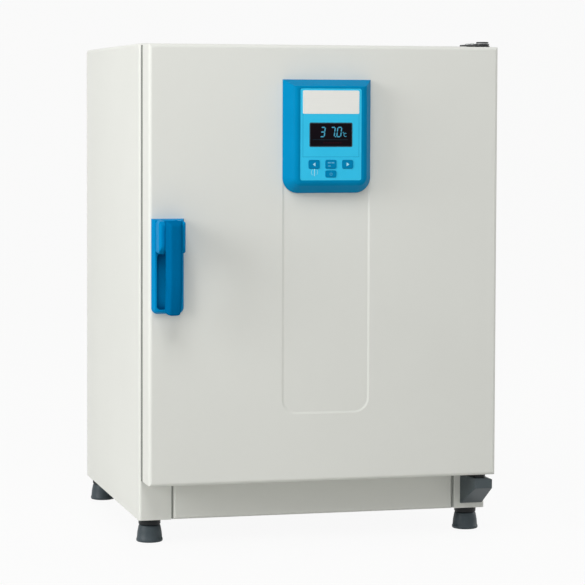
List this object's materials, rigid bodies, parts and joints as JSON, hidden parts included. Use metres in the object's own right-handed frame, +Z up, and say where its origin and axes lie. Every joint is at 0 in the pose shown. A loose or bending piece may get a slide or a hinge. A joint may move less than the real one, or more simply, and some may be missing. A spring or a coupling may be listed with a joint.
{
  "type": "laboratory incubator",
  "caption": "Bench incubator: a white sheet metal cabinet on conical feet, with a hinged door that carries a blue control housing and a pull lever, over a glass inner door and wire shelves.",
  "frame": {"origin": "on the floor, under the middle of the object's box", "axes": "+Z up, -Y to the front where the door is, +X to the hinge side"},
  "size_m": [0.53, 0.574, 0.7348],
  "materials": {
    "white_paint": "satin",
    "stainless_steel": "satin",
    "bright_steel": "polished",
    "dark_steel": "satin",
    "blue_plastic": "satin",
    "blue_foil": "satin",
    "blue_key": "satin",
    "label_white": "satin",
    "display_black": "gloss",
    "slate_plastic": "matte",
    "black_plastic": "matte",
    "seal_rubber": "matte",
    "glass": "gloss",
    "mineral_wool": "matte",
    "heater_foil": "satin",
    "circuit_board": "satin"
  },
  "bodies": {
    "cabinet": {"outer_housing": "white_paint", "rear_panel": "white_paint", "base_plate": "white_paint", "lower_front_panel": "white_paint", "front_frame": "white_paint", "inner_chamber": "stainless_steel", "insulation": "mineral_wool", "heater_mats": "heater_foil", "power_supply": "circuit_board", "temperature_sensor": "stainless_steel", "shelf_uprights": "stainless_steel", "lower_shelf_supports": "stainless_steel", "upper_shelf_supports": "stainless_steel", "latch_keeper": "stainless_steel", "upper_hinge_plate": "dark_steel", "hinge_pins": "bright_steel", "lower_hinge_bracket": "dark_steel", "lower_hinge_cover": "slate_plastic", "hinge_screws": "bright_steel", "mains_inlet": "black_plastic", "inlet_pins": "bright_steel", "data_socket": "stainless_steel", "rear_screws": "bright_steel", "foot_collars": "black_plastic", "glass_seal": "seal_rubber", "glass_hinge_brackets": "stainless_steel", "glass_catch": "black_plastic"},
    "door": {"door_skin": "white_paint", "door_liner": "stainless_steel", "door_insulation": "mineral_wool", "door_seal": "seal_rubber", "hinge_blocks": "stainless_steel", "hinge_bushes": "black_plastic", "control_housing": "blue_plastic", "keypad_foil": "blue_foil", "label_plate": "label_white", "display_window": "display_black", "display_module": "black_plastic", "control_board": "circuit_board", "handle_base": "blue_plastic", "lever_pin": "bright_steel"},
    "lever": {"handle_lever": "blue_plastic", "latch_hook": "stainless_steel"},
    "glass_door": {"glass_pane": "glass", "glass_clamps": "stainless_steel", "glass_pull": "stainless_steel"},
    "lower_shelf": {"lower_shelf": "stainless_steel"},
    "upper_shelf": {"upper_shelf": "stainless_steel"},
    "left_key": {"left_key": "blue_key"},
    "menu_key": {"menu_key": "blue_key"},
    "right_key": {"right_key": "blue_key"},
    "power_key": {"power_key": "blue_key"},
    "front_left_foot": {"front_left_foot": "slate_plastic"},
    "front_right_foot": {"front_right_foot": "slate_plastic"},
    "rear_left_foot": {"rear_left_foot": "slate_plastic"},
    "rear_right_foot": {"rear_right_foot": "slate_plastic"}
  },
  "joints": [
    {"name": "door_swing", "type": "hinge", "parent": "cabinet", "child": "door", "pos_m": [0.245, -0.203, 0], "axis": [0, 0, 1], "range_deg": [0, 170]},
    {"name": "glass_door_swing", "type": "hinge", "parent": "cabinet", "child": "glass_door", "pos_m": [0.1905, -0.166, 0], "axis": [0, 0, 1], "range_deg": [0, 110.5]},
    {"name": "lever_pull", "type": "hinge", "parent": "door", "child": "lever", "pos_m": [-0.23475, -0.249, 0.453], "axis": [-1, 0, 0], "range_deg": [0, 12], "stiffness_Nm_per_rad": 3, "springref_deg": -2.86},
    {"name": "left_key_press", "type": "slide", "parent": "door", "child": "left_key", "axis": [0, 1, 0], "range_m": [0, 0.0008], "stiffness_N_per_m": 600},
    {"name": "menu_key_press", "type": "slide", "parent": "door", "child": "menu_key", "axis": [0, 1, 0], "range_m": [0, 0.0008], "stiffness_N_per_m": 600},
    {"name": "right_key_press", "type": "slide", "parent": "door", "child": "right_key", "axis": [0, 1, 0], "range_m": [0, 0.0008], "stiffness_N_per_m": 600},
    {"name": "power_key_press", "type": "slide", "parent": "door", "child": "power_key", "axis": [0, 1, 0], "range_m": [0, 0.0008], "stiffness_N_per_m": 600},
    {"name": "lower_shelf_slide", "type": "slide", "parent": "cabinet", "child": "lower_shelf", "axis": [0, -1, 0], "range_m": [0, 0.02]},
    {"name": "upper_shelf_slide", "type": "slide", "parent": "cabinet", "child": "upper_shelf", "axis": [0, -1, 0], "range_m": [0, 0.02]},
    {"name": "front_left_foot_turn", "type": "hinge", "parent": "cabinet", "child": "front_left_foot", "pos_m": [-0.244, -0.141, 0], "axis": [0, 0, 1], "continuous": true},
    {"name": "front_right_foot_turn", "type": "hinge", "parent": "cabinet", "child": "front_right_foot", "pos_m": [0.244, -0.141, 0], "axis": [0, 0, 1], "continuous": true},
    {"name": "rear_left_foot_turn", "type": "hinge", "parent": "cabinet", "child": "rear_left_foot", "pos_m": [-0.244, 0.253, 0], "axis": [0, 0, 1], "continuous": true},
    {"name": "rear_right_foot_turn", "type": "hinge", "parent": "cabinet", "child": "rear_right_foot", "pos_m": [0.244, 0.253, 0], "axis": [0, 0, 1], "continuous": true}
  ],
  "couplings": [
    {"joint": "glass_door_swing", "follows": "door_swing", "ratio": 0.65}
  ]
}
